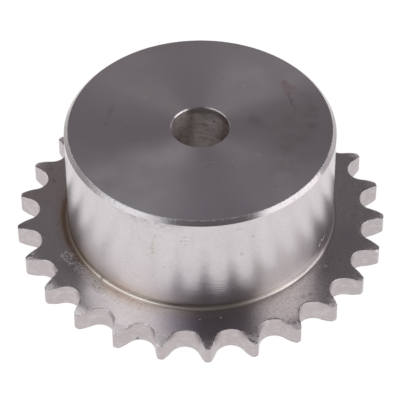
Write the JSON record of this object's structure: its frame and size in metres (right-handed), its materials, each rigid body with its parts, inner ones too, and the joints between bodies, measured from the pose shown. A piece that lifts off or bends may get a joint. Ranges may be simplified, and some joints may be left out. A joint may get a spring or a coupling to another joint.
{
  "type": "chain sprocket",
  "caption": "Roller chain sprocket: thin toothed plate with a large plain hub on one side and a small pilot bore.",
  "frame": {"origin": "centre of the bore at the back face of the toothed plate, the face opposite the hub", "axes": "+Z along the bore, from the toothed plate to the hub's face; one tooth points along -Y"},
  "size_m": [0.079, 0.0788, 0.03],
  "materials": {
    "steel": "turned bare steel, satin"
  },
  "bodies": {
    "root": {"sprocket": "steel"}
  },
  "joints": []
}
